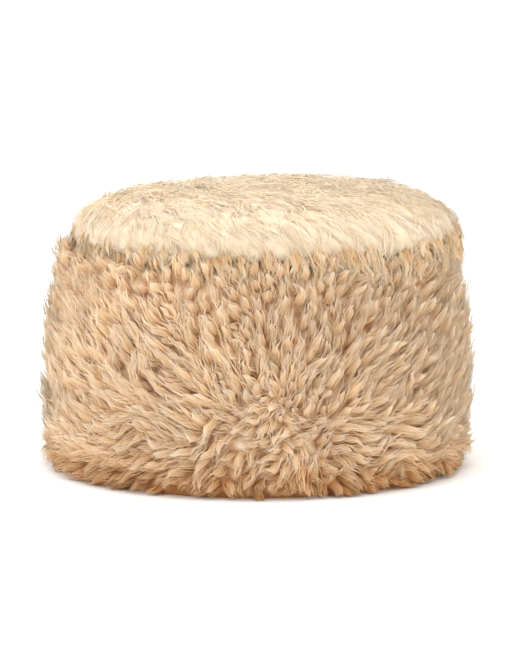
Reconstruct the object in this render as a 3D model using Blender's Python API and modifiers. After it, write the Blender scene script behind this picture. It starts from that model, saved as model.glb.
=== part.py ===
"""Shearling beanie: a drum-shaped hat of two sheepskin panels, worn with the wool outside.

The band is one strip of sheepskin rolled into an oval ring, and the crown is one oval panel
sewn on top of it. Each panel is a hide with its own fleece, and each fleece is a felted root
layer with the locks of wool pulled out of it, so that hide and fleece are two solids.
"""

import math

import bmesh
import bpy
from mathutils import Vector, noise

# The hides, in metres
HEAD_WIDTH = 0.181  # inside the band's lower edge, side to side
HEAD_LENGTH = 0.190  # the same, front to back: 583 mm round, a 58 cm head size
HIDE = 0.002  # thickness of the tanned skin
BAND_HEIGHT = 0.116  # hide of the band, lower edge to crown seam
BAND_TAPER = 0.003  # how far each side of the band leans in by the crown seam
CROWN_RISE = 0.005  # from the crown seam up to the crown's flat middle
CROWN_FLAT = 0.75  # share of the crown's radius that is flat
SEAM_GAP = 0.0003  # between pieces that are sewn or grown together
WELD = 0.00003  # points closer than this are one point

# The wool, in metres
HEM_WOOL = 0.005  # wool under the band's turned lower edge, on which the hat stands
BAND_PILE = 0.0215  # longest wool of the band, hide to tip
BAND_FELT = 0.46  # share of the band's pile that is matted into one layer
CROWN_PILE = 0.0195  # wool over the crown's flat middle, hide to tip
CROWN_FELT = 0.48  # share of the crown's pile that is matted into one layer
OVERHANG = 0.0165  # how far the crown's wool stands out over the crown seam
OVERHANG_DROP = 0.003  # how far its lower edge hangs below the crown seam
PARTING = 0.0022  # groove between the crown's wool and the band's, at the outside
CROWN_FULLNESS = 3.0  # exponent of the crown's rounded section: 2 is a dome, more is squarer

# How many locks there are, and how they lie. Half of them are rooted between rows.
BAND_COLUMNS = 44  # locks round the band in each row
BAND_ROWS = 7  # rows from the crown seam to the floor, with another row between each two
CROWN_ROWS = 10  # rows across the crown, both ways
CROWN_GATHER = 0.45  # how far those rows are gathered towards the crown's edge, 0 to 1
CROWN_WHORL = 0.6  # how far the wool is turned round at the crown's middle, in radians
RAGGED = 0.16  # how unevenly the locks are rooted, as a share of their spacing
GRAIN = 0.21  # how quickly chance changes from place to place, as a share of their spacing
CLUMP = 0.026  # how wide the clumps are in which neighbouring locks lean the same way
CLUMP_LEAN = 0.0055  # how far a clump leans over
TIP_WANDER = 0.0020  # how far a tip strays from its clump
BAND_SEED = 3  # chooses the band's chance wool
CROWN_SEED = 5  # chooses the crown's
SHORTEST = 0.84  # the shortest lock, as a share of the longest
FLOOR_CLEAR = 0.0008  # the lowest locks end this far above the flat ring that the hat stands on

# Each section of the band's pile, from the crown seam down to the floor.
# height: share of the band's whole height, wool included
# depth: share of BAND_PILE that the tips reach
# lift: how far the tips are combed up, as a share of BAND_PILE
BAND_SECTIONS = (
    {"height": 1.00, "depth": 0.84, "lift": 0.06},
    {"height": 0.86, "depth": 0.90, "lift": 0.24},
    {"height": 0.66, "depth": 0.98, "lift": 0.34},
    {"height": 0.40, "depth": 1.00, "lift": 0.20},
    {"height": 0.14, "depth": 0.98, "lift": 0.02},
    {"height": 0.00, "depth": 0.84, "lift": 0.00},
)

LOCK_SHOULDER = 0.62  # where a lock starts to narrow to its tip, as a share of its length
LOCK_WIDTH = 0.86  # how wide it still is there, as a share of its seat

SEAM_HEIGHT = HEM_WOOL + BAND_HEIGHT
CROWN_BASE = SEAM_HEIGHT + SEAM_GAP
CROWN_INSIDE = CROWN_BASE + CROWN_RISE
WOOL_GAP = HIDE + SEAM_GAP


def clear_scene():
    for thing in list(bpy.data.objects):
        bpy.data.objects.remove(thing, do_unlink=True)


def make_material(name, colour, roughness):
    material = bpy.data.materials.new(name)
    material.use_nodes = True
    shader = material.node_tree.nodes["Principled BSDF"]
    shader.inputs["Base Color"].default_value = (*colour, 1.0)
    shader.inputs["Roughness"].default_value = roughness
    shader.inputs["Metallic"].default_value = 0.0
    material.diffuse_color = (*colour, 1.0)
    return material


def make_object(name, mesh, material, collection):
    """Turns a finished bmesh into a named object."""
    bmesh.ops.recalc_face_normals(mesh, faces=mesh.faces)
    data = bpy.data.meshes.new(name)
    mesh.to_mesh(data)
    mesh.free()
    data.materials.append(material)
    piece = bpy.data.objects.new(name, data)
    collection.objects.link(piece)
    return piece


def thicken(piece):
    """Gives an open sheet the thickness of the hide, outwards."""
    wall = piece.modifiers.new("hide", "SOLIDIFY")
    wall.thickness = HIDE
    wall.offset = 1.0
    wall.use_even_offset = True


def smooth(share):
    share = min(max(share, 0.0), 1.0)
    return share * share * (3.0 - 2.0 * share)


def mix(low, high, share):
    return low + (high - low) * share


def oval(angle, offset, height):
    """A point at a distance outside the band's lower opening, which is an oval."""
    across = HEAD_WIDTH / 2 + offset
    along = HEAD_LENGTH / 2 + offset
    return Vector((across * math.cos(angle), along * math.sin(angle), height))


def lean_in(height):
    """How far the band's hide has leaned in at a height."""
    return -BAND_TAPER * min(max((height - HEM_WOOL) / BAND_HEIGHT, 0.0), 1.0)


def band_section(height):
    """The depth and lift of the band's pile at a height, between the rows of the table."""
    share = min(max(height / SEAM_HEIGHT, 0.0), 1.0)
    for above, below in zip(BAND_SECTIONS, BAND_SECTIONS[1:]):
        if share >= below["height"]:
            part = smooth((share - below["height"]) / (above["height"] - below["height"]))
            depth = mix(below["depth"], above["depth"], part)
            lift = mix(below["lift"], above["lift"], part)
            return depth * BAND_PILE, lift * BAND_PILE


def band_wool(angle, height, reach):
    """A point in the band's wool. reach is 0 on the felted layer and 1 at the tips."""
    depth, lift = band_section(height)
    offset = HIDE + lean_in(height) + depth * mix(BAND_FELT, 1.0, reach)
    return oval(angle, offset, height + lift * reach * reach)


def band_lock(root, reach):
    """The middle of the lock that is rooted at a point of the band's felted layer."""
    angle = math.atan2(root.y / HEAD_LENGTH, root.x / HEAD_WIDTH)
    return band_wool(angle, root.z, reach)


def crown_sizes(growth):
    """Half the crown's width and length over the band's hide, grown outwards."""
    offset = HIDE - BAND_TAPER + growth
    return HEAD_WIDTH / 2 + offset, HEAD_LENGTH / 2 + offset


def crown_hide(x, y):
    """The inner face of the crown's hide. x and y are shares of the crown's half sizes."""
    across, along = crown_sizes(0.0)
    drop = CROWN_RISE * smooth((math.hypot(x, y) - CROWN_FLAT) / (1.0 - CROWN_FLAT))
    return Vector((across * x, along * y, CROWN_INSIDE - drop))


def crown_wool(x, y, reach):
    """A point in the crown's wool. reach is 0 on the felted layer and 1 at the tips."""
    share = mix(CROWN_FELT, 1.0, reach)
    across, along = crown_sizes(OVERHANG * share)
    base = SEAM_HEIGHT - OVERHANG_DROP
    top = CROWN_INSIDE + HIDE + CROWN_PILE * share - base
    fall = max(1.0 - math.hypot(x, y) ** CROWN_FULLNESS, 0.0)
    return Vector((across * x, along * y, base + top * fall ** (1.0 / CROWN_FULLNESS)))


def crown_felt(under):
    """The top of the crown's felted layer, for a point on the layer's underside."""
    across, along = crown_sizes(0.0)
    x, y = under.x / across, under.y / along
    radius = math.hypot(x, y)
    turn = math.atan2(y, x) + CROWN_WHORL * (1.0 - radius * radius)
    gathered = mix(radius, math.sin(min(radius, 1.0) * math.pi / 2), CROWN_GATHER)
    return crown_wool(gathered * math.cos(turn), gathered * math.sin(turn), 0.0)


def crown_lock(root, reach):
    """The middle of the lock that is rooted at a point of the crown's felted layer."""
    across, along = crown_sizes(OVERHANG * CROWN_FELT)
    return crown_wool(root.x / across, root.y / along, reach)


def rolled_strip(section):
    """A strip of quads rolled into a ring. Each item of section gives a row's point at an angle.

    Returns the mesh and, for each row of the strip, its faces.
    """
    mesh = bmesh.new()
    bands = len(section) - 1
    bmesh.ops.create_grid(mesh, x_segments=BAND_COLUMNS, y_segments=bands, size=0.5)
    rows = [[] for _ in range(bands)]
    for face in mesh.faces:
        middle = face.calc_center_median()
        rows[math.floor((middle.y + 0.5) * bands)].append(face)
    for vertex in mesh.verts:
        angle = 2 * math.pi * vertex.co.x
        vertex.co = section[round((vertex.co.y + 0.5) * bands)](angle)
    bmesh.ops.remove_doubles(mesh, verts=mesh.verts, dist=WELD)
    return mesh, rows


def pressed_disc():
    """A square grid of quads pressed into the round crown panel, on the hide's inner face."""
    mesh = bmesh.new()
    bmesh.ops.create_grid(mesh, x_segments=CROWN_ROWS, y_segments=CROWN_ROWS, size=1.0)
    for vertex in mesh.verts:
        across, along, _ = vertex.co
        x = across * math.sqrt(1.0 - along * along / 2.0)
        y = along * math.sqrt(1.0 - across * across / 2.0)
        vertex.co = crown_hide(x, y)
    return mesh


def seat_locks(mesh, faces):
    """Turns square faces into the seats of staggered locks: one on each edge between them."""
    inside = set(faces)
    shared = [edge for edge in mesh.edges if inside.issuperset(edge.link_faces)]
    middles = set(bmesh.ops.poke(mesh, faces=faces)["verts"])
    bmesh.ops.dissolve_edges(mesh, edges=shared)
    return [face for face in mesh.faces if middles.intersection(face.verts)]


def chance(place, spacing):
    """Three uneven numbers from -1 to 1 that belong to a place, whatever order it comes in."""
    uneven = noise.noise_vector(place / (spacing * GRAIN))
    return Vector([min(max(2.0 * number, -1.0), 1.0) for number in uneven])


def scatter_corners(mesh, seats, spacing):
    """Moves the corners that only seats share along the wool, so that the seats are uneven."""
    seated = set(seats)
    for corner in mesh.verts:
        if corner.link_faces and seated.issuperset(corner.link_faces):
            stray = chance(corner.co, spacing) * RAGGED * spacing
            corner.co += stray - corner.normal * stray.dot(corner.normal)


def grow_locks(mesh, faces, lock, spacing, seed):
    """Pulls a pointed lock of wool out of each seat. lock(root, reach) is its middle line."""
    noise.seed_set(seed)
    bmesh.ops.recalc_face_normals(mesh, faces=mesh.faces)
    seats = seat_locks(mesh, faces)
    mesh.normal_update()
    scatter_corners(mesh, seats, spacing)
    for seat in seats:
        root = seat.calc_center_median()
        length = mix(SHORTEST, 1.0, smooth(0.5 + noise.noise(root / (spacing * GRAIN))))
        stray = chance(root, spacing) * TIP_WANDER
        lean = noise.noise_vector(root / CLUMP) * CLUMP_LEAN + stray
        for reach, width in ((LOCK_SHOULDER, LOCK_WIDTH), (1.0, 0.0)):
            middle = lock(root, reach * length) + root - lock(root, 0.0) + lean * reach * reach
            middle.z = max(middle.z, FLOOR_CLEAR)
            seat = bmesh.ops.extrude_discrete_faces(mesh, faces=[seat])["faces"][0]
            centre = seat.calc_center_median()
            for corner in seat.verts:
                corner.co = middle + (corner.co - centre) * width
                corner.co.z = max(corner.co.z, FLOOR_CLEAR)
        bmesh.ops.pointmerge(mesh, verts=seat.verts[:], merge_co=middle)


def make_band_hide(material, collection):
    section = [
        lambda angle: oval(angle, 0.0, HEM_WOOL),
        lambda angle: oval(angle, -BAND_TAPER, SEAM_HEIGHT),
    ]
    mesh, _ = rolled_strip(section)
    piece = make_object("band_hide", mesh, material, collection)
    thicken(piece)
    return piece


def make_band_fleece(material, collection):
    """The band's wool: a closed ring of felted wool round the hide, with locks outside."""
    edge = HEM_WOOL - SEAM_GAP
    upper = SEAM_HEIGHT - SEAM_GAP
    parting = SEAM_HEIGHT - OVERHANG_DROP - PARTING
    spacing = parting / BAND_ROWS
    inner = [
        lambda angle: oval(angle, 0.0, 0.0),
        lambda angle: oval(angle, 0.0, edge),
        lambda angle: oval(angle, WOOL_GAP, edge),
        lambda angle: oval(angle, WOOL_GAP - BAND_TAPER, upper),
    ]
    outer = [
        lambda angle, row=row: band_wool(angle, parting - spacing * row, 0.0)
        for row in range(BAND_ROWS + 1)
    ]
    mesh, rows = rolled_strip(inner + outer + inner[:1])
    first = len(inner)
    seats = [face for row in rows[first : first + BAND_ROWS] for face in row]
    grow_locks(mesh, seats, band_lock, spacing, BAND_SEED)
    return make_object("band_fleece", mesh, material, collection)


def make_crown_hide(material, collection):
    piece = make_object("crown_hide", pressed_disc(), material, collection)
    thicken(piece)
    return piece


def make_crown_fleece(material, collection):
    """The crown's wool: a felted pad grown up from the crown's hide, with locks outside."""
    mesh = pressed_disc()
    bmesh.ops.recalc_face_normals(mesh, faces=mesh.faces)
    mesh.normal_update()
    for vertex in mesh.verts:
        vertex.co += vertex.normal * WOOL_GAP * vertex.calc_shell_factor()
    grown = bmesh.ops.extrude_face_region(mesh, geom=mesh.faces[:])["geom"]
    for vertex in grown:
        if isinstance(vertex, bmesh.types.BMVert):
            vertex.co = crown_felt(vertex.co)
    seats = [face for face in grown if isinstance(face, bmesh.types.BMFace)]
    spacing = HEAD_WIDTH / CROWN_ROWS
    grow_locks(mesh, seats, crown_lock, spacing, CROWN_SEED)
    return make_object("crown_fleece", mesh, material, collection)


def main():
    clear_scene()
    collection = bpy.data.collections.new("shearling_beanie")
    bpy.context.scene.collection.children.link(collection)
    suede = make_material("sheepskin_suede", (0.56, 0.42, 0.28), 0.9)
    wool = make_material("sheepskin_wool", (0.72, 0.54, 0.35), 0.95)
    make_band_hide(suede, collection)
    make_crown_hide(suede, collection)
    make_band_fleece(wool, collection)
    make_crown_fleece(wool, collection)


main()
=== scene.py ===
# %% [markdown]
# A shearling beanie, dressed for its portrait.
# The real hat is sheepskin with the wool left on and worn outside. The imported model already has
# the hat's true size and form, so this lesson only gives it its surface: the suede inside, the
# felted roots of the wool, and a few thousand curly locks.

# %% Load the frame
import math

import bmesh
import bpy
import numpy as np
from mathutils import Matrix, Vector


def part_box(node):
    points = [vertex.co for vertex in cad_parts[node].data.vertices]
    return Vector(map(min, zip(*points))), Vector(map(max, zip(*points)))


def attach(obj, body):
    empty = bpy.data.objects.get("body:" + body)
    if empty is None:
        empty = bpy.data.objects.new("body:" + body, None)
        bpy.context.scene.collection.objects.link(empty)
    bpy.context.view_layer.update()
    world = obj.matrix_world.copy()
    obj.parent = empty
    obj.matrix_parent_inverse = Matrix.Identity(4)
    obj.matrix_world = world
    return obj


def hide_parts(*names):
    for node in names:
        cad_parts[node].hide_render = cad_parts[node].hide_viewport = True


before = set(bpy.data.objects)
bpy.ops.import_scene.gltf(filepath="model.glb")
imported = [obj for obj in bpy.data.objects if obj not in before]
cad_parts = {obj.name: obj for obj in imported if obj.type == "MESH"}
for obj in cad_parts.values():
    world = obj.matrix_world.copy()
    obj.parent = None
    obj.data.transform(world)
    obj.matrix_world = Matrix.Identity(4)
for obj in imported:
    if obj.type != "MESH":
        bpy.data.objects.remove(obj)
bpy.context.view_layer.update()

# %% [markdown]
# The camera comes first, because it decides how fine the wool has to be.
# The photograph was taken with a long lens from a little above the hat, which keeps both sides of
# the drum upright. A long lens in Blender is a large focal length and a camera far away.

# %% Aim a long lens at the hat
CAMERA_DISTANCE = 2.2
CAMERA_ELEVATION = math.radians(8.2)
FRAME_HEIGHT = 0.3425  # how much of the scene the picture's height shows, at the hat
AIM = Vector((0.0013, 0.0, 0.0732))  # the point in the middle of the picture

camera_data = bpy.data.cameras.new("camera")
camera_data.lens = camera_data.sensor_width * CAMERA_DISTANCE / FRAME_HEIGHT
camera_data.clip_end = 50.0
camera = bpy.data.objects.new("camera", camera_data)
bpy.context.scene.collection.objects.link(camera)
towards = Vector((0.0, -math.cos(CAMERA_ELEVATION), math.sin(CAMERA_ELEVATION)))
camera.location = AIM + towards * CAMERA_DISTANCE
camera.rotation_euler = (math.pi / 2 - CAMERA_ELEVATION, 0.0, 0.0)
bpy.context.scene.camera = camera
bpy.context.scene.view_settings.view_transform = "Standard"
print("focal length in mm:", round(camera_data.lens))

# %% [markdown]
# Every size is read from the model or is a real size in metres.
# The hide's box gives the oval that the head goes into. The wool's box gives the seam's height.

# %% Measure the hat
MM = 0.001
HIDE = 2 * MM  # thickness of the tanned skin
TAPER = 3 * MM  # how far each side of the band leans in at the top
PILE = 21.5 * MM  # the band's longest wool, hide to tip
FELT = 0.52  # share of the pile that is matted at the roots
CROWN_FELT = 0.80  # the same on the crown, whose wool is denser and shorter
CROWN_PILE = 18.8 * MM  # the crown's longest wool, hide to tip
CROWN_FULLNESS = 3.0  # how square the crown's rounded edge is
OVERHANG = 12.5 * MM  # how far the crown's wool stands out past the seam
CROWN_SHIFT = 4 * MM  # the crown's wool is brushed a little to the right
OVERHANG_DROP = 3 * MM  # and how far it hangs down past it

hide_low, hide_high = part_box("band_hide")
HALF_WIDTH = hide_high[0] - HIDE
HALF_LENGTH = hide_high[1] - HIDE
HEM = hide_low[2]
SEAM = hide_high[2]
CROWN_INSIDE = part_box("crown_hide")[1][2] - HIDE
print("head opening, mm:", round(2000 * HALF_WIDTH), "by", round(2000 * HALF_LENGTH))

# %% [markdown]
# The wool of the band isn't equally deep everywhere.
# It is pressed where the hat stands on it and where the crown hangs over it. A short table of
# sections says how deep the tips reach and how far they are combed up at each height.

# %% Describe the band's wool
BAND_SECTIONS = (
    {"height": 0.00, "depth": 0.72, "up": -0.30},
    {"height": 0.07, "depth": 0.92, "up": -0.15},
    {"height": 0.14, "depth": 1.00, "up": 0.00},
    {"height": 0.40, "depth": 1.00, "up": 0.25},
    {"height": 0.66, "depth": 0.96, "up": 0.60},
    {"height": 0.86, "depth": 0.86, "up": 0.75},
    {"height": 1.00, "depth": 0.80, "up": 0.60},
)


def band_table(height, column):
    """A column of the table, read between its rows at any height."""
    rows = [section["height"] * SEAM for section in BAND_SECTIONS]
    return np.interp(height, rows, [section[column] for section in BAND_SECTIONS])


def band_point(angle, height, share):
    """Points of the band's wool. share is 0 on the hide and 1 at the tips."""
    lean = TAPER * np.clip((height - HEM) / (SEAM - HEM), 0.0, 1.0)
    offset = HIDE - lean + band_table(height, "depth") * PILE * share
    across = (HALF_WIDTH + offset) * np.cos(angle)
    along = (HALF_LENGTH + offset) * np.sin(angle)
    return np.stack((across, along, height + 0.0 * across), axis=-1)


def crown_point(x, y, share):
    """Points of the crown's wool. x and y run from -1 to 1 across the crown's outline."""
    offset = HIDE - TAPER + OVERHANG * share
    base = SEAM - OVERHANG_DROP
    top = CROWN_INSIDE + HIDE + CROWN_PILE * share - base
    fall = np.clip(1.0 - np.hypot(x, y) ** CROWN_FULLNESS, 0.0, 1.0) ** (1.0 / CROWN_FULLNESS)
    across = (HALF_WIDTH + offset) * x + CROWN_SHIFT * share
    return np.stack((across, (HALF_LENGTH + offset) * y, base + top * fall), axis=-1)


print("band tips, mm out:", round(1000 * float(band_point(0.0, 0.05, 1.0)[0])))

# %% [markdown]
# A material is a small network of nodes, and colours are chosen as the eye sees them.
# Blender works with linear light, so one function turns a hex colour into linear values, and one
# function adds a node with its settings and links.

# %% Helpers for materials


def linear(hex_colour):
    """An sRGB hex colour as linear RGBA."""
    values = [int(hex_colour[i : i + 2], 16) / 255 for i in (1, 3, 5)]
    return [v / 12.92 if v <= 0.04045 else ((v + 0.055) / 1.055) ** 2.4 for v in values] + [1.0]


def add_node(material, kind, settings=None, links=None):
    """Adds a node. settings sets its properties or sockets, links joins sockets to its inputs."""
    tree = material.node_tree
    node = tree.nodes.new(kind)
    for name, value in (settings or {}).items():
        if isinstance(name, str) and hasattr(node, name):
            setattr(node, name, value)
        else:
            node.inputs[name].default_value = value
    for name, socket in (links or {}).items():
        tree.links.new(socket, node.inputs[name])
    return node


def calculate(material, operation, *inputs):
    """A node that calculates. Each input is a number or a socket."""
    numbers = {at: value for at, value in enumerate(inputs) if isinstance(value, float)}
    sockets = {at: value for at, value in enumerate(inputs) if not isinstance(value, float)}
    return add_node(material, "ShaderNodeMath", {"operation": operation} | numbers, sockets)


def new_material(name):
    """A material with an empty node network."""
    material = bpy.data.materials.new(name)
    material.use_nodes = True
    material.node_tree.nodes.clear()
    return material


def finish_material(material, shader):
    """Sends the shader to the surface."""
    output = add_node(material, "ShaderNodeOutputMaterial")
    material.node_tree.links.new(shader.outputs[0], output.inputs[0])
    return material


print("sand in linear light:", [round(v, 3) for v in linear("#DDBE96")])

# %% [markdown]
# Wool is a bundle of fine, translucent, slightly waxy fibres.
# One fibre is far too thin to draw, so the material follows the lie of each lock: streaks run
# from root to tip, and each lock has a tint of its own. The colour darkens from tip to root,
# which is painted shade deep between the locks. The wool is also painted darker near the floor
# and at the crown's lower edge, which is painted shade where the hat stands and at the crown's rim.
# Every lock carries two attributes for this, wool and fibre. Down is the dense wool deep inside
# a lock, which lets some light through; its colours are darker than the wool's, as painted shade.

# %% Wool on the locks
STREAK = 0.55 * MM  # width of a bundle of fibres, wide enough to show
STREAK_LENGTH = 9 * MM
STREAK_CONTRAST = 0.2  # how far a streak moves the colour, as a share of the way to the tip
SHADE_DARKENING = 0.3  # how much darker the painted shade makes the wool, at most


def make_wool(name, root, middle, tip, scatter):
    """Wool in three colours, root to tip. scatter is how much of the light goes through it."""
    material = new_material(name)
    wool = add_node(material, "ShaderNodeAttribute", {"attribute_name": "wool"})
    parts = add_node(material, "ShaderNodeSeparateXYZ", links={0: wool.outputs["Vector"]})
    fibre = add_node(material, "ShaderNodeAttribute", {"attribute_name": "fibre"})
    scale = (1 / STREAK, 1 / STREAK, 1 / STREAK_LENGTH)
    lie = add_node(material, "ShaderNodeMapping", {"Scale": scale}, {0: fibre.outputs["Vector"]})
    streaks = add_node(
        material,
        "ShaderNodeTexNoise",
        {"Scale": 1.0, "Detail": 2.0, "Roughness": 0.5},
        {0: lie.outputs[0]},
    )
    streak = streaks.outputs[0]
    # the streaks' colour is partly the fibres' own tone and partly painted light: lighter on the
    # ridges that the bump raises, darker in their grooves
    streak_tone_and_light = calculate(material, "MULTIPLY_ADD", streak, STREAK_CONTRAST, -STREAK_CONTRAST / 2)
    lit = calculate(material, "ADD", parts.outputs[0], streak_tone_and_light.outputs[0])
    reach = calculate(material, "SUBTRACT", lit.outputs[0], parts.outputs[2])
    # painted shade: the ramp darkens from tip to root, which paints the shade deep between the
    # locks
    ramp = add_node(material, "ShaderNodeValToRGB", links={0: reach.outputs[0]})
    ramp.color_ramp.elements[0].color = linear(root)
    ramp.color_ramp.elements[1].color = linear(tip)
    ramp.color_ramp.elements.new(0.5).color = linear(middle)
    tints = {"To Min": 0.90, "To Max": 1.08}
    tint = add_node(material, "ShaderNodeMapRange", tints, {0: parts.outputs[1]})
    shade = calculate(
        material, "MULTIPLY_ADD", parts.outputs[2], -SHADE_DARKENING, tint.outputs[0]
    )
    colour = add_node(
        material,
        "ShaderNodeHueSaturation",
        {"Saturation": 1.0},
        {"Value": shade.outputs[0], "Color": ramp.outputs[0]},
    )
    bump = add_node(
        material,
        "ShaderNodeBump",
        {"Strength": 0.3, "Distance": 0.3 * MM},
        {"Height": streak},
    )
    shader = add_node(
        material,
        "ShaderNodeBsdfPrincipled",
        {
            "Roughness": 0.85,
            "IOR": 1.54,
            "Specular IOR Level": 0.06,
            "Subsurface Weight": scatter,
            "Subsurface Radius": (1.0, 0.8, 0.6),
            "Subsurface Scale": 3 * MM,
            "Sheen Weight": 0.03,
            "Sheen Roughness": 0.5,
            "Sheen Tint": linear("#F5D3A4"),
        },
        {"Base Color": colour.outputs[0], "Normal": bump.outputs[0]},
    )
    return finish_material(material, shader)


band_wool = make_wool("sheepskin_wool_band", "#CE8E54", "#EEC698", "#F6E2C8", 0.0)
# painted shade: the down materials are darker copies of the wool, for the felt and the cores deep
# under the strands and hairs
band_down = make_wool("sheepskin_down_band", "#BC8250", "#DFBE99", "#E9D8C2", 0.25)
crown_wool = make_wool("sheepskin_wool_crown", "#E8C295", "#EBD6B8", "#ECDFCC", 0.0)
edge_wool = make_wool("sheepskin_wool_edge", "#D9A066", "#EEC797", "#F3DEC2", 0.0)
print("wool materials:", [wool.name for wool in (band_wool, band_down, crown_wool, edge_wool)])

# %% [markdown]
# Inside the hat the skin shows as suede.
# Suede is napped: short fibres that lie this way or that, which give soft patches of light and
# dark. The pattern is noise in the object's own coordinates, a coarse one and a fine one.

# %% Suede inside the hat
NAP_PATCH = 22 * MM  # size of the patches where a hand has brushed the nap
NAP_GRAIN = 0.6 * MM  # size of the fine grain
NAP_DEPTH = 0.15 * MM


def noise(material, place, size, detail):
    """A noise texture whose features are about size long."""
    settings = {"Scale": 1 / size, "Detail": detail}
    return add_node(material, "ShaderNodeTexNoise", settings, {0: place.outputs["Object"]})


def make_suede(name, dark, light):
    """Suede between two colours."""
    material = new_material(name)
    place = add_node(material, "ShaderNodeTexCoord")
    patches = noise(material, place, NAP_PATCH, 2.0)
    grains = noise(material, place, NAP_GRAIN, 4.0)
    both = calculate(material, "MULTIPLY_ADD", grains.outputs[0], 0.5, patches.outputs[0])
    ramp = add_node(material, "ShaderNodeValToRGB", links={0: both.outputs[0]})
    ramp.color_ramp.elements[0].position = 0.45
    ramp.color_ramp.elements[0].color = linear(dark)
    ramp.color_ramp.elements[1].position = 1.05
    ramp.color_ramp.elements[1].color = linear(light)
    bump = add_node(
        material,
        "ShaderNodeBump",
        {"Strength": 0.5, "Distance": NAP_DEPTH},
        {"Height": grains.outputs[0]},
    )
    shader = add_node(
        material,
        "ShaderNodeBsdfPrincipled",
        {"Roughness": 0.95, "Specular IOR Level": 0.2, "Sheen Weight": 0.4, "Sheen Roughness": 0.5},
        {"Base Color": ramp.outputs[0], "Normal": bump.outputs[0]},
    )
    return finish_material(material, shader)


suede = make_suede("sheepskin_suede", "#A98A67", "#CDB08A")
print("plain material:", suede.name)

# %% [markdown]
# A drum-shaped layer is a section turned once round the hat.
# Blender's spin makes it round, and each point is then drawn out front to back to give the oval
# of a head. The hide, the panel of the crown and the felt over both are all made this way.

# %% Turn a layer
TURNS = 144
FULL_TURN = 2 * math.pi
WELD = 0.02 * MM  # points closer than this become one
EDGE_ROUND = 0.6 * MM  # how far a sharp edge is worn round
SHARP = 1.0  # radians between two faces


def keep(name, data, material):
    """Makes a finished mesh a smooth object that rides with the hat."""
    data.shade_smooth()
    data.materials.append(material)
    piece = bpy.data.objects.new(name, data)
    bpy.context.scene.collection.objects.link(piece)
    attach(piece, "root")
    print(name, len(data.polygons), "faces")
    return piece


def spin_round(mesh, row, edges, steps):
    """Turns a row of points and its edges once round the vertical axis."""
    bmesh.ops.spin(
        mesh,
        geom=row + edges,
        axis=(0, 0, 1),
        cent=(0, 0, 0),
        angle=FULL_TURN,
        steps=steps,
        use_merge=True,
    )


def turned(name, section, closed, material, turns=TURNS):
    """Spins a section of (radius, height) points round the hat and draws it out to the oval."""
    mesh = bmesh.new()
    row = [mesh.verts.new((radius, 0.0, height)) for radius, height in section]
    edges = [mesh.edges.new(pair) for pair in zip(row, row[1:])]
    if closed:
        edges.append(mesh.edges.new((row[-1], row[0])))
    spin_round(mesh, row, edges, turns)
    bmesh.ops.remove_doubles(mesh, verts=mesh.verts, dist=WELD)
    for point in mesh.verts:
        radius = max(math.hypot(point.co.x, point.co.y), HALF_WIDTH)
        point.co.y *= 1.0 + (HALF_LENGTH - HALF_WIDTH) / radius
    bmesh.ops.recalc_face_normals(mesh, faces=mesh.faces)
    sharp = [one for one in mesh.edges if one.is_manifold and one.calc_face_angle() > SHARP]
    bmesh.ops.bevel(
        mesh, geom=sharp, offset=EDGE_ROUND, segments=3, profile=0.5, affect="EDGES", material=-1
    )
    data = bpy.data.meshes.new(name)
    mesh.to_mesh(data)
    mesh.free()
    return keep(name, data, material)


# %% [markdown]
# The two hides are plain panels of suede, one rolled into a ring and one laid over it.
# They stay exactly where the model has them, only smoother, because the suede inside is what
# shows when the hat is turned over.

# %% Make the hides
GAP = 0.3 * MM  # between the two hides, and between a hide and its felt
CROWN_RISE = CROWN_INSIDE - SEAM - GAP
CROWN_FLAT = 0.75  # out to this share of its width the crown's panel is flat
PANEL_STEPS = 24

ring = [
    (HALF_WIDTH, HEM),
    (HALF_WIDTH + HIDE, HEM),
    (HALF_WIDTH + HIDE - TAPER, SEAM),
    (HALF_WIDTH - TAPER, SEAM),
]
band_suede = turned("band_suede", ring, True, suede)
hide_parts("band_hide")


def panel_height(share):
    """Height of the crown panel's inner face, from its middle at 0 to its edge at 1."""
    fall = np.clip((share - CROWN_FLAT) / (1.0 - CROWN_FLAT), 0.0, 1.0)
    return CROWN_INSIDE - CROWN_RISE * fall * fall * (3.0 - 2.0 * fall)


shares = np.linspace(0.0, 1.0, PANEL_STEPS)
panel_edge = HALF_WIDTH + HIDE - TAPER
under = [(panel_edge * share, panel_height(share)) for share in shares]
over = [(radius, height + HIDE) for radius, height in reversed(under)]
crown_suede = turned("crown_suede", under + over, False, suede)
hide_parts("crown_hide")

# %% [markdown]
# A lock is a soft core with strands and hairs round it, and all three are spindles.
# Each is modelled straight, by spinning a profile that is pointed at both ends, and thousands of
# copies are bent into place later. A strand stands for a few dozen real fibres. The shapes have
# only a few dozen faces at most, because there will be thousands of them.

# %% Model the core, the strand and the hair
CORE_SIDES, CORE_STEPS = 5, 6
STRAND_SIDES, STRAND_STEPS = 3, 6
HAIR_STEPS = 3
BLUNT = 0.7  # below 1 a spindle's ends are rounder
SPINDLE_WELD = 0.001
chance = np.random.default_rng(11)


def spindle(sides, steps, belly):
    """A spindle one unit long and two wide, widest at belly. Returns its points and its faces."""
    mesh = bmesh.new()
    reach = np.linspace(0.0, 1.0, steps + 1)
    width = np.sin(np.pi * reach ** (math.log(0.5) / math.log(belly))) ** BLUNT
    width[[0, -1]] = 0.0
    row = [mesh.verts.new((out, 0.0, at)) for out, at in zip(width, reach)]
    edges = [mesh.edges.new(pair) for pair in zip(row, row[1:])]
    spin_round(mesh, row, edges, sides)
    bmesh.ops.remove_doubles(mesh, verts=mesh.verts, dist=SPINDLE_WELD)
    bmesh.ops.recalc_face_normals(mesh, faces=mesh.faces)
    mesh.verts.index_update()
    points = np.array([point.co[:] for point in mesh.verts])
    faces = [[corner.index for corner in face.verts] for face in mesh.faces]
    mesh.free()
    return points, faces


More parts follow.
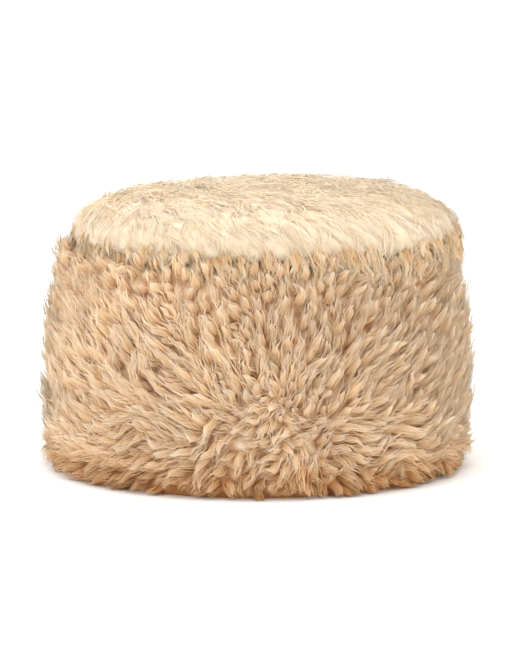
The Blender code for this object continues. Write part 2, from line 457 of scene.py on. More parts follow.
CORE = spindle(CORE_SIDES, CORE_STEPS, 0.35)
STRAND = spindle(STRAND_SIDES, STRAND_STEPS, 0.4)
HAIR = spindle(STRAND_SIDES, HAIR_STEPS, 0.4)
print("faces in a core, a strand and a hair:", len(CORE[1]), len(STRAND[1]), len(HAIR[1]))

# %% [markdown]
# Each lock is described by where it is rooted and how it bends.
# It leaves the skin at one angle and ends at another, so that its middle line is part of a
# circle. The bend goes the way that the wool is combed. Near the tip the line also waves, which
# is the crimp of the wool.

# %% Bend copies along their locks
FLOOR_SQUASH = 2.5 * MM  # wool lower than this is pressed flat by the floor
FLOOR_CLEAR = 0.2 * MM
STRAIGHT_ROOT = 0.15  # this share of a lock, next to the skin, isn't crimped
CRIMP_AHEAD = 0.6  # the crimp also goes to and fro along the comb, but less
CRIMP_RHYTHM = 0.83  # and in a rhythm of its own, so that the lock winds


def along_locks(locks, reach, aside, ahead):
    """Points beside the middle lines. aside and ahead are distances across the lock, in metres."""
    column = {key: value[:, None] for key, value in locks.items()}
    bend = column["end"] - column["start"]
    angle = column["start"] + bend * reach
    rise = (np.sin(angle) - np.sin(column["start"])) / bend * column["length"]
    run = (np.cos(column["start"]) - np.cos(angle)) / bend * column["length"]
    waves = 2 * np.pi * reach * column["length"] / column["crimp_length"] + column["phase"]
    crimp = column["crimp"] * np.clip(reach - STRAIGHT_ROOT, 0.0, None)
    aside = aside + crimp * np.sin(waves)
    ahead = ahead + CRIMP_AHEAD * crimp * np.cos(waves * CRIMP_RHYTHM)
    rise = rise - ahead * np.sin(angle)
    run = run + ahead * np.cos(angle)
    return (
        column["root"]
        + column["out"] * rise[..., None]
        + column["comb"] * run[..., None]
        + column["side"] * (aside + 0.0 * reach)[..., None]
    )


def on_floor(points):
    """Presses wool flat that would go through the floor."""
    low = points[..., 2]
    pressed = FLOOR_CLEAR + (FLOOR_SQUASH - FLOOR_CLEAR) * np.exp(
        np.minimum(low - FLOOR_SQUASH, 0.0) / (FLOOR_SQUASH - FLOOR_CLEAR)
    )
    points[..., 2] = np.where(low < FLOOR_SQUASH, pressed, low)
    return points


def unit(vectors):
    """The same directions, one unit long."""
    return vectors / np.linalg.norm(vectors, axis=-1, keepdims=True)


def pick(locks, chosen):
    """Only the chosen locks."""
    return {key: value[chosen] for key, value in locks.items()}


print("copies are pressed flat below", 1000 * FLOOR_SQUASH, "mm")

# %% [markdown]
# The copies are joined with arrays, because a thousand objects would be slow to handle.
# Each point also gets the two attributes that the wool material reads. wool holds how far along
# its lock the point is, the lock's tint and how much painted shade darkens it. fibre is its place
# in the straight lock, in metres, with a shift so that no two locks have the same streaks. The
# normals are given: they lean towards the outside of the lock, which makes many thin hairs look
# like one soft tuft.

# %% Join the copies


def joined(name, locks, shape_faces, points, normals, reach, across, pressed, material):
    """Makes one mesh of all the copies of a shape."""
    count, size = points.shape[:2]
    starts = np.arange(count)[:, None] * size
    faces = []
    for face in shape_faces:
        faces += (starts + np.array(face)).tolist()
    data = bpy.data.meshes.new(name)
    data.from_pydata(points.reshape(-1, 3).tolist(), [], faces)
    shift = chance.uniform(0.0, 1.0, (count, 1))
    reach = np.broadcast_to(reach, (count, size))
    tint = np.broadcast_to(locks["tint"][:, None], (count, size))
    wool = np.stack((reach, tint, pressed), axis=-1)
    straight = np.stack(
        (
            np.broadcast_to(across[0], (count, size)) + shift,
            np.broadcast_to(across[1], (count, size)) + shift,
            reach * locks["length"][:, None],
        ),
        axis=-1,
    )
    paint(data, wool, straight)
    piece = keep(name, data, material)
    data.normals_split_custom_set_from_vertices(normals.reshape(-1, 3).tolist())
    return piece


def grow(name, locks, shape, each, style, material):
    """Grows copies of a shape that start apart and gather towards the tip of their lock."""
    points, faces = shape
    many = pick(locks, np.repeat(np.arange(len(locks["length"])), each))
    count = len(many["length"])
    many["tint"] = np.clip(many["tint"] + chance.uniform(-0.1, 0.1, count), 0.0, 1.0)
    many["crimp"] = many["crimp"] * chance.uniform(0.7, 1.3, count)
    many["phase"] = many["phase"] + chance.uniform(-0.7, 0.7, count)
    last = chance.uniform(style["shortest"], style["longest"], (count, 1))
    reach = last * points[None, :, 2]
    side = chance.uniform(0.0, 2 * np.pi, (count, 1)) + many["twist"][:, None] * reach
    apart = style["apart"] * np.sqrt(chance.uniform(0.3, 1.0, (count, 1))) * many["width"][:, None]
    gathered = 1.0 - (1.0 - style["tip"]) * np.clip(reach, 0.0, 1.1) ** 1.3
    strays = style["stray"] * chance.normal(0.0, 1.0, (2, count, 1)) * reach**2
    thick = style["thickness"] * chance.uniform(0.7, 1.2, (count, 1))
    thick = thick * (1.0 + style["lumpy"] * chance.uniform(-1.0, 1.0, (count, len(points))))
    aside = apart * gathered * np.cos(side) + strays[0]
    ahead = apart * gathered * np.sin(side) + strays[1]
    place = style["place"]
    straight = along_locks(many, reach, 0.0, 0.0)
    middle = place(straight)
    outward = unit(place(straight + many["out"][:, None, :] * MM) - middle)
    axis = place(along_locks(many, reach, aside, ahead))
    beside = aside + points[None, :, 0] * thick
    before = ahead + points[None, :, 1] * thick
    bent = place(along_locks(many, reach, beside, before))
    normals = unit(
        (bent - axis) / style["thickness"]
        + (axis - middle) / many["width"][:, None, None] * style["soft"] * 0.5
        + outward * style["soft"]
    )
    across = (points[:, 0] * style["thickness"], points[:, 1] * style["thickness"])
    # painted shade: how much darker each point is painted, near the floor and at the crown's rim
    pressed = style["pressed"](bent)
    reach = np.clip(reach, 0.0, 1.0)
    return joined(name, many, faces, bent, normals, reach, across, pressed, material)


print("growing functions are ready")

# %% [markdown]
# The wool is combed in whorls, as a fleece is.
# Locks lie away from the middle of a whorl, and stand straight out at it, so there you look at
# the locks end on and they seem to be round curls. Each whorl is a row of a short table. Above
# the whorls the wool is combed up towards the crown, and so it is at the hat's sides, where the
# wool of the two whorls meets.

# %% Comb the band
WHORLS = (
    {"angle": math.radians(-81), "height": 44 * MM},
    {"angle": math.radians(97), "height": 58 * MM},
)
WHORL_SIZE = 55 * MM  # out to here the wool stands up more and more towards the middle
WHORL_EYE = 22 * MM  # and in here it may stand straight out
WHORL_COMBED = 0.85  # how far the wool is combed outside a whorl
BAND_RADIUS = 105 * MM
BAND_WANDER = 0.40  # how much the combing wanders from place to place
LEAST_COMBED = 0.75  # away from a whorl the wool lies at least this much
LEAST_BESIDE = 0.20  # and this much more at the hat's sides
BETWEEN_WHORLS = 1.0  # how far it is combed up where the two whorls meet
MIDDLE = 55 * MM  # half the band's height
WAVES = 6  # how many waves add up to a wandering value
FLOOR_SHADE_HEIGHT = 24 * MM  # below this height the band's wool is painted darker, as painted shade near the floor
MOST_FLOOR_SHADE = 0.5


def wander(place, size, seed):
    """A smooth chance value, mostly from -1 to 1, for each place, from waves about size long."""
    waves = np.random.default_rng(seed)
    total = 0.0 * place[..., 0]
    for _ in range(WAVES):
        heading = unit(waves.normal(0.0, 1.0, 3)) * 2 * np.pi / size
        total = total + np.sin(place @ heading + waves.uniform(0.0, 2 * np.pi))
    return total / (WAVES / 2)


def comb_band(angle, height):
    """How far the wool is combed to the right and up, seen from outside."""
    right, up, weights = 0.0 * angle, 0.0 * angle, 0.0 * angle
    nearest = 0.0 * angle + 1.0
    for whorl in WHORLS:
        aside = (angle - whorl["angle"] + np.pi) % (2 * np.pi) - np.pi
        aside = aside * BAND_RADIUS
        above = height - whorl["height"]
        distance = np.hypot(aside, above) + MM
        weight = 1.0 / distance**2
        right = right + aside / distance * weight
        up = up + above / distance * weight
        weights = weights + weight
        nearest = np.minimum(nearest, distance)
    strength = np.clip(nearest / WHORL_SIZE, 0.0, 1.0) * WHORL_COMBED
    place = band_point(angle, height, 1.0)
    right = right / weights * strength + BAND_WANDER * wander(place, 40 * MM, 1)
    up = up / weights * strength + band_table(height, "up")
    up = up + BAND_WANDER * wander(place, 36 * MM, 2)
    beside = np.cos(angle) ** 2
    up = up + BETWEEN_WHORLS * beside * np.clip(1.0 - np.abs(height - MIDDLE) / MIDDLE, 0.0, 1.0)
    least = (LEAST_COMBED + LEAST_BESIDE * beside) * np.clip(nearest / WHORL_EYE, 0.0, 1.0)
    stretch = np.maximum(1.0, least / np.maximum(np.hypot(right, up), 0.05))
    return right * stretch, up * stretch


def pressed_by_hat(points):
    """Painted shade: the band's wool is painted darker towards the floor, most where the hat
    stands.
    """
    return MOST_FLOOR_SHADE * np.clip(1.0 - points[..., 2] / FLOOR_SHADE_HEIGHT, 0.0, 1.0) ** 1.2


right, up = comb_band(np.array([-0.5]), np.array([0.05]))
print("combing near the right-hand side, right and up:", right.round(2), up.round(2))

# %% [markdown]
# Under the band's locks the wool is matted into felt, which closes every gap between them.
# At its foot it turns under the hide's edge, and the hat stands on it. Small waves in and out
# make it curly, so that it still looks like wool where it shows between two locks.

# %% Make the band's felt
FELT_TURNS = 300
FELT_STEPS = 48
CURL, SMALL_CURL = 9 * MM, 5 * MM
CURL_RISE = 1.3 * MM
SMOOTH_FELT = 6 * MM  # nearer to the hide than this the felt has no curls
EDGE_HEIGHT = 9 * MM  # over this height the felt's upper edge turns in
EDGE_TUCK = 0.65  # and this share of its thickness is gone at the edge
PARTING = SEAM - OVERHANG_DROP - 2.2 * MM  # height of the band's wool, under the crown's


def paint(data, wool, fibre):
    """Gives a mesh the two attributes that the wool material reads."""
    for attribute, values in (("wool", wool), ("fibre", fibre)):
        layer = data.attributes.new(attribute, "FLOAT_VECTOR", "POINT")
        layer.data.foreach_set("vector", values.astype(np.float32).ravel())


def places_of(data):
    """The places of a mesh's points, as an array."""
    places = np.zeros(len(data.vertices) * 3)
    data.vertices.foreach_get("co", places)
    return places.reshape(-1, 3)


outer = []
for height in np.linspace(PARTING, 0.0, FELT_STEPS):
    turned_in = np.clip((height - PARTING) / EDGE_HEIGHT + 1.0, 0.0, 1.0) ** 2
    share = FELT * (1.0 - EDGE_TUCK * turned_in)
    outer.append((float(band_point(0.0, height, share)[0]), height))
inner = [
    (HALF_WIDTH, 0.0),
    (HALF_WIDTH, HEM - GAP),
    (HALF_WIDTH + HIDE + GAP, HEM - GAP),
    (HALF_WIDTH + HIDE + GAP - TAPER, SEAM - GAP),
]
band_felt = turned("band_felt", inner + outer, True, band_down, FELT_TURNS)
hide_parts("band_fleece")

places = places_of(band_felt.data)
curls = wander(places, CURL, 7) + 0.7 * wander(places, SMALL_CURL, 8)
outwards = unit(places * (1.0, 1.0, 0.0))
radius = np.hypot(places[:, 0] / HALF_WIDTH, places[:, 1] / HALF_LENGTH)
outside = radius > 1.0 + SMOOTH_FELT / HALF_WIDTH
outside = outside & (places[:, 2] > MM) & (places[:, 2] < PARTING - MM)
places = places + outwards * (CURL_RISE * curls * outside)[:, None]
band_felt.data.vertices.foreach_set("co", places.ravel())
# painted shade: the felt is painted lighter where its curls rise, darker in the hollows between
# them, and darker near the floor
wool = np.stack((0.45 + 0.20 * curls, 0.5 + 0.2 * curls, pressed_by_hat(places)), axis=-1)
paint(band_felt.data, wool, places)
print("the felt's curls rise, mm:", round(1000 * CURL_RISE * float(curls.max()), 1))

# %% [markdown]
# The tips are spread evenly but without rows, and each root is found by going back.
# Two irrational steps, one round the hat and one up it, never line up, so no row shows. Spreading
# the tips and not the roots crowds the roots in a whorl, so no skin shows there either.

# %% Root the band's locks
BAND_LOCKS = 1400
TIP_STEPS = (0.7548776662, 0.5698402910)
TIP_SPAN = 9 * MM  # how much taller than the band the belt of tips is
TIPS_BELOW = 3 * MM  # how far that belt starts under the floor; those tips are pressed flat later
LOWEST_ROOT = 1.5 * MM
LOCK_WIDTH = 4.0 * MM
LOCK_CRIMP = 1.9 * MM
LOCK_SPACING = 8.5 * MM
SHORTEST_LOCK = 8 * MM
LONGEST_LOCK = 26 * MM
LOCKS_IN_TUFT = 4
TUFT_PULL = 0.45  # how strongly the locks of a tuft lean together
PUSHES = 5  # how often crowded locks are pushed apart
SHORTER_FROM = 92 * MM  # from this height up the locks grow shorter
SHORTER_OVER = 22 * MM
SHORTER = 0.25
ROOT_DEPTH = 0.08  # how deep in the felt a lock starts, as a share of the pile
OVERREACH = 0.97  # allows for wisps and hairs, which are longer than their lock


def into_tufts(root):
    """Leans each lock towards the middle of its tuft."""
    middles = root[chance.permutation(len(root))[: len(root) // LOCKS_IN_TUFT]]
    apart = np.linalg.norm(root[:, None, :] - middles[None, :, :], axis=-1)
    nearest = apart.argmin(axis=1)
    lean = middles[nearest] - root
    return lean / (apart.min(axis=1)[:, None] + 4 * MM) * TUFT_PULL


def lie(combed, height_above, flat):
    """How a lock lies: its angles at both ends, its length, and how far it runs along the skin.

    An angle of 0 stands straight out from the skin, and a right angle lies along it. Combed wool
    starts out a little bent and ends far over, and flat wool is bent over from the start.
    """
    combed = np.clip(combed, 0.0, 1.15)
    start = 0.10 + 0.30 * combed + 0.70 * flat
    end = 0.60 + 0.85 * combed + 0.35 * flat
    rise = (np.sin(np.minimum(end, np.pi / 2)) - np.sin(start)) / (end - start)
    length = np.clip(height_above / np.maximum(rise, 0.2), SHORTEST_LOCK, LONGEST_LOCK)
    return start, end, length, (np.cos(start) - np.cos(end)) / (end - start) * length


def describe(root, out, comb_vector, height_above, width, crimp, flat=0.0, messy=0.16):
    """Turns roots and combing into locks that bend the right way and reach the right height.

    Hardly combed wool curls over at its tip. messy is how far the locks stray from the comb.
    """
    count = len(root)
    combed = np.linalg.norm(comb_vector, axis=-1)
    start, end, length, _ = lie(combed, height_above, flat)
    stray = chance.normal(0.0, 1.0, (count, 3)) * messy + into_tufts(root)
    stray = stray - out * np.sum(stray * out, axis=-1, keepdims=True)
    comb_vector = comb_vector + stray
    comb_unit = unit(comb_vector)
    curl = np.clip(1.0 - combed / 0.6, 0.0, 1.0) * chance.uniform(0.2, 1.0, count)
    end = end + 1.2 * curl + chance.uniform(-0.25, 0.25, count)
    return {
        "root": root,
        "out": out,
        "comb": comb_unit,
        "side": np.cross(comb_unit, out),
        "start": start,
        "end": end,
        "length": length * chance.uniform(0.75, 1.10, count),
        "width": width * chance.uniform(0.65, 1.35, count),
        "twist": chance.uniform(-1.0, 1.0, count),
        "phase": chance.uniform(0.0, 2 * np.pi, count),
        "crimp": crimp * chance.uniform(0.5, 1.3, count),
        "crimp_length": chance.uniform(7.0, 12.0, count) * MM,
        "tint": 0.5 + 0.4 * wander(root, 28 * MM, 5) + chance.uniform(-0.25, 0.25, count),
    }


def straight_up(count):
    """The upward direction, once for each of count locks."""
    up = np.zeros((count, 3))
    up[:, 2] = 1.0
    return up


def spread_out(locks, spacing):
    """Moves crowded locks apart by their bellies, so that no felt shows between them."""
    for _ in range(PUSHES):
        belly = along_locks(locks, np.array([[0.6]]), 0.0, 0.0)[:, 0]
        apart = belly[:, None, :] - belly[None, :, :]
        gap = np.linalg.norm(apart, axis=-1, keepdims=True) + 0.01 * MM
        push = np.sum(apart / gap * np.clip(1.0 - gap / spacing, 0.0, 1.0), axis=1) * spacing * 0.3
        locks["root"] += push - locks["out"] * np.sum(push * locks["out"], axis=-1, keepdims=True)


numbers = np.arange(BAND_LOCKS)
angle = 2 * np.pi * ((numbers * TIP_STEPS[0]) % 1.0)
height = (PARTING + TIP_SPAN) * ((numbers * TIP_STEPS[1] + 0.5) % 1.0) - TIPS_BELOW
right, up = comb_band(angle, height)
tip_depth = band_table(height, "depth")
shorter = 1.0 - SHORTER * np.clip((height - SHORTER_FROM) / SHORTER_OVER, 0.0, 1.0)
to_tip = PILE * tip_depth * (OVERREACH - FELT + ROOT_DEPTH) * shorter
combed = np.hypot(right, up)
run = lie(combed, to_tip, 0.0)[3] / combed
angle = angle - right * run / BAND_RADIUS
height = np.clip(height - up * run, LOWEST_ROOT, PARTING - 0.5 * MM)


def root_on_band(angle, height, right, up, to_tip):
    """Describes locks that are rooted at these places on the band."""
    root = band_point(angle, height, FELT - ROOT_DEPTH)
    across = np.cos(angle) / HALF_WIDTH
    along = np.sin(angle) / HALF_LENGTH
    out = unit(np.stack((across, along, 0.0 * angle), axis=-1))
    rightwards = np.stack((-out[:, 1], out[:, 0], 0.0 * angle), axis=-1)
    comb_vector = rightwards * right[:, None] + np.array([0.0, 0.0, 1.0]) * up[:, None]
    return describe(root, out, comb_vector, to_tip, LOCK_WIDTH, LOCK_CRIMP)


band_locks = root_on_band(angle, height, right, up, to_tip)
spread_out(band_locks, LOCK_SPACING)
band_locks["root"][:, 2] = np.clip(band_locks["root"][:, 2], LOWEST_ROOT, PARTING)
print("band locks:", BAND_LOCKS, "mean mm:", round(1000 * band_locks["length"].mean(), 1))

# %% [markdown]
# Where the combing parts the wool, the felt would show, so shorter locks fill those places.
# The barest of a few thousand places gets a lock, which covers what is round it, and then the next
# barest, until the fillers are used up.

# %% Fill the partings
FILLERS = 260
PLACES = 4000
AT_A_TIME = 500  # places compared at a time, to save memory
FILLER_TOP = 0.85  # how high a filler reaches, as a share of the pile
FILLER_COMBED = 0.7  # and how far it is combed, as a share of its neighbours

angle = chance.uniform(0.0, 2 * np.pi, PLACES)
height = chance.uniform(6 * MM, PARTING - 2 * MM, PLACES)
places = band_point(angle, height, FELT)
covered = [along_locks(band_locks, np.array([[at]]), 0.0, 0.0)[:, 0] for at in (0.4, 0.7, 1.0)]
bare = np.full(PLACES, 1.0)
for points in covered:
    for start in range(0, PLACES, AT_A_TIME):
        some = slice(start, start + AT_A_TIME)
        apart = np.linalg.norm(places[some, None, :] - points[None, :, :], axis=-1)
        bare[some] = np.minimum(bare[some], apart.min(axis=1))
chosen = []
for _ in range(FILLERS):
    barest = int(bare.argmax())
    chosen.append(barest)
    bare = np.minimum(bare, np.linalg.norm(places - places[barest], axis=-1))
angle, height = angle[chosen], height[chosen]
right, up = comb_band(angle, height)
to_tip = PILE * (FILLER_TOP - FELT + ROOT_DEPTH) * band_table(height, "depth")
fill_locks = root_on_band(angle, height, FILLER_COMBED * right, FILLER_COMBED * up, to_tip)
print("filler locks:", FILLERS, "barest place left, mm:", round(1000 * bare.max(), 1))

# %% [markdown]
# Each lock now gets one thick core, a few strands and many hairs.
# The core fills the lock, the strands give it edges, and the hairs are finer than the picture can
# show, which makes it soft. A table for each kind says how far along the lock its copies end, how
# far apart they start and gather, how thick they are and how softly they are lit. The band's wool
# is grown in four parts, because one mesh with all of it would be very large.

# %% Grow the band's wool
PARTS = 4
CORES = {
    "shortest": 0.65,
    "longest": 0.90,
    "apart": 0.10,
    "tip": 0.8,
    "stray": 0.3 * MM,
    "thickness": 2.4 * MM,
    "lumpy": 0.15,
    "soft": 0.6,
    "place": on_floor,
    "pressed": pressed_by_hat,
}
STRANDS = CORES | {
    "shortest": 0.75,
    "longest": 1.10,
    "apart": 0.95,
    "tip": 0.38,
    "stray": 0.7 * MM,
    "thickness": 0.32 * MM,
    "lumpy": 0.1,
    "soft": 2.4,
}
HAIRS = STRANDS | {
    "shortest": 0.80,
    "longest": 1.20,
    "apart": 1.10,
    "tip": 0.55,
    "thickness": 0.16 * MM,
}
grow("band_cores", band_locks, CORE, 1, CORES, band_down)
quarter = BAND_LOCKS // PARTS + 1
for part in range(PARTS):
    some = pick(band_locks, slice(part * quarter, (part + 1) * quarter))
    grow(f"band_strands_{part + 1}", some, STRAND, 4, STRANDS, band_wool)
    grow(f"band_hairs_{part + 1}", some, HAIR, 16, HAIRS, band_wool)
grow("filler_cores", fill_locks, CORE, 1, CORES, band_down)
grow("filler_strands", fill_locks, STRAND, 3, STRANDS, band_wool)
grow("filler_hairs", fill_locks, HAIR, 9, HAIRS, band_wool)

# %% [markdown]
# The crown's wool is laid out flat, worked on there, and then pulled over the crown.
# A flat sheet is easy to comb. Its first two numbers are the way walked from the crown's middle,
# and its third is the height above the hide. Pulled over, it follows the rounded edge, and what
# is left over hangs down over the band, as brushed wool does.

# %% Pull a flat sheet over the crown
CROWN_DRIFT = (0.60, -0.50)  # the crown is brushed to the right and to the front
CROWN_WANDER = 0.35
CROWN_EYE = 50 * MM  # out to here the wool is combed outwards more and more
CROWN_PATCH = 45 * MM  # size of the patches in which the brushing wanders
EDGE_SHADE = 0.12  # how much painted shade darkens the wool at the crown's lower edge

walk = 1.0 - (1.0 - np.linspace(0.0, 1.0, 2000)) ** 3  # closer steps where the crown turns down
profile = crown_point(walk, 0.0 * walk, 1.0)
steps = np.linalg.norm(np.diff(profile, axis=0), axis=-1)
distance = np.concatenate(([0.0], np.cumsum(steps)))  # from the crown's middle, along the wool
area = np.concatenate(([0.0], np.cumsum(steps * 0.5 * (profile[1:, 0] + profile[:-1, 0]))))


def over_crown(points):
    """Pulls points of the flat sheet over the crown."""
    at = np.hypot(points[..., 0], points[..., 1])
    spread = np.interp(at, distance, walk) / np.maximum(at, 0.01 * MM)
    share = points[..., 2] / CROWN_PILE
    placed = crown_point(points[..., 0] * spread, points[..., 1] * spread, share)
    placed[..., 2] -= np.clip(at - distance[-1], 0.0, None)
    return placed


def comb_crown(sheet):
    """How the crown's wool is combed on the flat sheet: outwards and towards the front right."""
    at = np.hypot(sheet[..., 0], sheet[..., 1])[..., None]
    outwards = sheet / np.maximum(at, 0.01 * MM) * np.clip(at / CROWN_EYE, 0.0, 1.0)
    around = np.stack((-outwards[..., 1], outwards[..., 0], 0.0 * outwards[..., 0]), axis=-1)
    right = CROWN_DRIFT[0] + CROWN_WANDER * wander(sheet, CROWN_PATCH, 3)
    back = CROWN_DRIFT[1] + CROWN_WANDER * wander(sheet, CROWN_PATCH, 4)
    drift = np.stack((right, back, 0.0 * right), axis=-1)
    rim = np.clip(at / distance[-1], 0.0, 1.0) ** 4  # at its edge the wool hangs outwards all round
    return (0.40 + 0.9 * rim) * outwards + 0.15 * around + (1.0 - 0.4 * rim) * drift


def rim_shade(points):
    """Painted shade: the wool is painted darker towards the crown's lower edge."""
    return EDGE_SHADE * np.clip((SEAM + 15 * MM - points[..., 2]) / (18 * MM), 0.0, 1.0)


print("from the crown's middle to its lower edge, mm:", round(1000 * distance[-1]))

# %% [markdown]
# Brushed wool holds together in tufts that overlap like shingles.
# The crown's felt is one closed surface, and each tuft lifts it a little, most near its own tip.
# The highest tuft wins at each point, which leaves soft creases between them.

# %% Make the crown's felt
CROWN_TURNS = 360
CROWN_STEPS = 80
TUFTS = 560
TUFT_LENGTH = 11 * MM
TUFT_WIDTH = 6 * MM
TUFT_RISE = 3.6 * MM
TUFT_STRAY = 1.5 * MM
TUCK = 8 * MM  # how far the felt turns in at the crown's lower edge
TUCK_WIDTH = 7 * MM
GOLDEN_ANGLE = math.pi * (3.0 - math.sqrt(5.0))


def sunflower(count, spare):
    """Places on the flat sheet that spread evenly over the crown, without rows."""
    numbers = (np.arange(count) + 0.5) / count
    past = distance[-1] + 8 * MM
    at = np.interp(numbers * area[-1] * (1.0 + spare), area, distance, right=past)
    turn = np.arange(count) * GOLDEN_ANGLE
    return np.stack((at * np.cos(turn), at * np.sin(turn), 0.0 * at), axis=-1)


def felt_height(at, share):
    """A height in the crown's wool. At the crown's edge it turns in, so no sharp rim shows."""
    turned_in = np.clip((at - distance[-1]) / TUCK_WIDTH + 1.0, 0.0, 1.0)
    return CROWN_PILE * share - TUCK * turned_in**2


def tufted(sheet):
    """How high the tufts lift each point of the sheet, and which tuft is the highest there."""
    level = (1.0, 1.0, 0.0)
    middles = sunflower(TUFTS, 0.05) + chance.normal(0.0, TUFT_STRAY, (TUFTS, 3)) * level
    ways = unit(comb_crown(middles) + chance.normal(0.0, 0.25, (TUFTS, 3)) * level)
    sizes = chance.uniform(0.8, 1.4, TUFTS)
    rise = np.zeros(len(sheet))
    best = np.zeros(len(sheet), dtype=int)
    for number, (place, way, size) in enumerate(zip(middles, ways, sizes)):
        apart = sheet - place
        along = (apart @ way) / (TUFT_LENGTH * size)
        aside = (apart[:, 0] * way[1] - apart[:, 1] * way[0]) / (TUFT_WIDTH * size)
        dome = np.clip(1.0 - along**2 - aside**2, 0.0, 1.0) ** 0.5
        bulge = dome * (0.75 + 0.35 * along)  # higher towards the tuft's tip
        best = np.where(bulge > rise, number, best)
        rise = np.maximum(rise, bulge)
    apart = sheet - middles[best]
    along = np.sum(apart * ways[best], axis=-1)
    aside = apart[:, 0] * ways[best][:, 1] - apart[:, 1] * ways[best][:, 0]
    fibre = np.stack((aside, best * 7.3 * MM, along), axis=-1)
    return rise, chance.uniform(0.0, 1.0, TUFTS)[best], fibre


# painted shade: the crown's down is a darker copy of its wool, for the felt and the cores under the
# hairs
crown_down = make_wool("sheepskin_down_crown", "#D6AE80", "#D8C3A6", "#DFD0BB", 0.5)
quarter_turn = np.linspace(0.0, 1.0, CROWN_STEPS) * math.pi / 2
dome = [crown_point(math.sin(angle), 0.0, CROWN_FELT) for angle in quarter_turn]
top = [(float(point[0]) - CROWN_SHIFT * CROWN_FELT, float(point[2])) for point in dome]
bottom = [(radius, height + HIDE + GAP) for radius, height in reversed(under)]
crown_felt = turned("crown_felt", top + bottom, False, crown_down, CROWN_TURNS)
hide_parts("crown_fleece")

data = crown_felt.data
points = places_of(data)
offset = HIDE - TAPER + OVERHANG * CROWN_FELT
flat = points / (HALF_WIDTH + offset, HALF_LENGTH + offset, 1.0)
spread = np.hypot(flat[:, 0], flat[:, 1])
at = np.interp(spread, walk, distance) / np.maximum(spread, 0.001)
sheet = np.stack((flat[:, 0] * at, flat[:, 1] * at, 0.0 * at), axis=-1)
rings = [radius / panel_edge for radius, _ in under]
panel_top = np.interp(spread, rings, [height for _, height in under]) + HIDE + GAP
outside = points[:, 2] > panel_top + MM
outside = outside | (spread * (HALF_WIDTH + offset) > panel_edge + 2 * MM)
rise, tint, fibre = tufted(sheet)
fade = np.clip((points[:, 2] - SEAM + OVERHANG_DROP) / (4 * MM), 0.0, 1.0)
lifted = TUFT_RISE * (rise - 0.35) * fade
sheet[:, 2] = felt_height(np.hypot(sheet[:, 0], sheet[:, 1]), CROWN_FELT) + lifted
points = np.where(outside[:, None], over_crown(sheet), points)
data.vertices.foreach_set("co", points.ravel())
# painted shade: the felt is painted lighter where a tuft lifts it, darker in the creases between
# tufts, and darker at the crown's rim
wool = np.stack((0.35 + 0.55 * rise, tint, rim_shade(points)), axis=-1)
paint(data, wool, fibre)
data.update()
print("tufts:", TUFTS, "top of the felt, mm:", round(1000 * points[:, 2].max(), 1))

# %% [markdown]
# Over the felt lies the crown's loose wool, finer and brushed flatter than the band's.
# Its tips follow a sunflower's spiral, which spreads points evenly. Each root is found by going
# back along the comb, as on the band.

# %% Root the crown's wool
CROWN_LOCKS = 1000
CROWN_LOCK_WIDTH = 4.5 * MM
CROWN_CRIMP = 2.4 * MM
CROWN_SPACING = 7.5 * MM

tips = sunflower(CROWN_LOCKS, 0.1)
comb_vector = comb_crown(tips)
to_tip = CROWN_PILE * (OVERREACH - CROWN_FELT + ROOT_DEPTH) * np.ones(CROWN_LOCKS)
combed = np.linalg.norm(comb_vector, axis=-1)
run = lie(combed, to_tip, 1.0)[3] / combed
root = tips - comb_vector * run[:, None]
far = np.hypot(root[:, 0], root[:, 1])
root = root * np.minimum(1.0, (distance[-1] - MM) / far)[:, None]
root[:, 2] = CROWN_PILE * (CROWN_FELT - ROOT_DEPTH)
crown_locks = describe(
    root,
    straight_up(CROWN_LOCKS),
    comb_vector,
    to_tip,
    CROWN_LOCK_WIDTH,
    CROWN_CRIMP,
    flat=1.0,
    messy=0.45,
)
spread_out(crown_locks, CROWN_SPACING)
print("crown locks:", CROWN_LOCKS, "mean mm:", round(1000 * crown_locks["length"].mean(), 1))

BRUSHED_STRANDS = STRANDS | {
    "tip": 0.75,
    "stray": 0.8 * MM,
    "thickness": 0.28 * MM,
    "soft": 0.5,
    "place": over_crown,
    "pressed": rim_shade,
}
BRUSHED_HAIRS = BRUSHED_STRANDS | {
    "shortest": 0.8,
    "longest": 1.2,
    "apart": 1.1,
    "tip": 0.70,
    "thickness": 0.16 * MM,
}

# %% [markdown]
# Thicker locks stand round the crown's lower edge.
# They hide the seam between the two fleeces: they are rooted in the crown's felt, stand out more
# than the brushed wool above them, and are in colour between the crown's wool and the band's.

# %% Grow the wool at the crown's edge
EDGE_LOCKS = 210
EDGE_HIGHEST = 11.0  # mm above the crown's lower edge
EDGE_ROOT = 0.66  # how deep they are rooted, as a share of the pile
EDGE_REACH = 7.5 * MM
EDGE_WIDTH = 3.8 * MM
EDGE_CRIMP = 2.6 * MM

turn = 2 * np.pi * (np.arange(EDGE_LOCKS) + chance.uniform(-0.4, 0.4, EDGE_LOCKS)) / EDGE_LOCKS
at = distance[-1] - chance.uniform(-1.0, EDGE_HIGHEST, EDGE_LOCKS) * MM
outwards = np.stack((np.cos(turn), np.sin(turn), 0.0 * turn), axis=-1)
root = outwards * at[:, None]
root[:, 2] = felt_height(at, EDGE_ROOT)
edge_locks = describe(
    root,
    straight_up(EDGE_LOCKS),
    0.75 * outwards + 0.2 * comb_crown(root),
    EDGE_REACH * np.ones(EDGE_LOCKS),
    EDGE_WIDTH,
    EDGE_CRIMP,
    flat=0.4,
    messy=0.3,
)
# the edge locks get the painted shade of the crown's rim
EDGE = {"place": over_crown, "pressed": rim_shade}
grow("edge_cores", edge_locks, CORE, 1, CORES | EDGE | {"thickness": 2.2 * MM}, crown_down)
grow("edge_strands", edge_locks, STRAND, 4, STRANDS | EDGE, edge_wool)
grow("edge_hairs", edge_locks, HAIR, 14, HAIRS | EDGE, edge_wool)

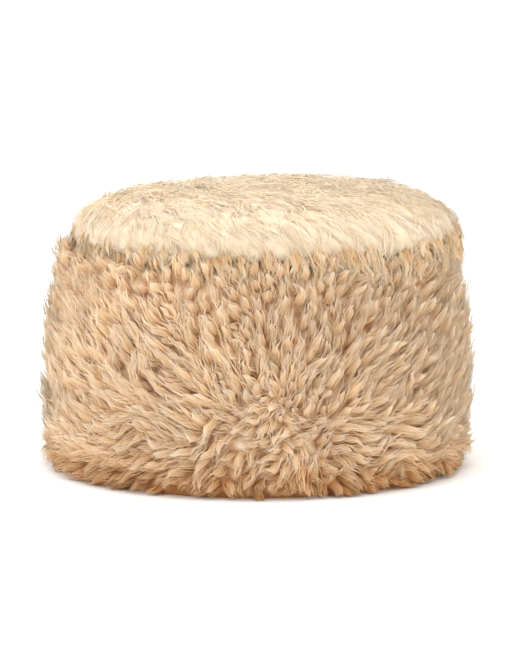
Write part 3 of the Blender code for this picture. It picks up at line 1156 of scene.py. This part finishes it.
# %% [markdown]
# Last comes the brushed wool itself, which needs no cores, because the tufted felt is its body.
# It is mostly hairs, with one strand to a lock, and it is grown in two parts.

# %% Grow the crown's brushed wool
half = CROWN_LOCKS // 2
for part, chosen in enumerate((slice(0, half), slice(half, None))):
    some = pick(crown_locks, chosen)
    grow(f"crown_strands_{part + 1}", some, STRAND, 1, BRUSHED_STRANDS, crown_wool)
    grow(f"crown_hairs_{part + 1}", some, HAIR, 13, BRUSHED_HAIRS, crown_wool)

# %% [markdown]
# The photograph's background is a white sweep under soft light.
# A large white floor and a white sky give light from all sides, and one wide softbox above makes
# the crown the brightest part.

# %% Light the hat
FLOOR_SIZE = 12.0
SKY_STRENGTH = 1.15
SOFTBOX_SIZE = 2.2
SOFTBOX_POWER = 24.0  # watts

floor_mesh = bmesh.new()
bmesh.ops.create_grid(floor_mesh, x_segments=1, y_segments=1, size=FLOOR_SIZE / 2)
floor_data = bpy.data.meshes.new("floor")
floor_mesh.to_mesh(floor_data)
floor_mesh.free()
paper = new_material("white_paper_sweep")
matt_white = {"Base Color": linear("#F4F3F1"), "Roughness": 0.9}
white = add_node(paper, "ShaderNodeBsdfPrincipled", matt_white)
finish_material(paper, white)
floor_data.materials.append(paper)
floor = bpy.data.objects.new("floor", floor_data)
bpy.context.scene.collection.objects.link(floor)

world = bpy.data.worlds.new("white_studio")
world.use_nodes = True
sky = world.node_tree.nodes["Background"]
sky.inputs["Color"].default_value = (1.0, 1.0, 1.0, 1.0)
sky.inputs["Strength"].default_value = SKY_STRENGTH
bpy.context.scene.world = world


def softbox(name, place, target, size, power):
    """A square light at place that shines at target."""
    light = bpy.data.lights.new(name, "AREA")
    light.size = size
    light.energy = power
    lamp = bpy.data.objects.new(name, light)
    lamp.location = place
    lamp.rotation_euler = (Vector(target) - Vector(place)).to_track_quat("-Z", "Y").to_euler()
    bpy.context.scene.collection.objects.link(lamp)
    return lamp


softbox("overhead_softbox", (-0.2, -0.3, 1.5), (0.0, 0.0, 0.1), SOFTBOX_SIZE, SOFTBOX_POWER)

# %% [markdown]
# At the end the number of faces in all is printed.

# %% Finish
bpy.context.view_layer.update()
meshes = [thing.data for thing in bpy.data.objects if thing.type == "MESH"]
print("faces in all:", sum(len(mesh.polygons) for mesh in meshes))
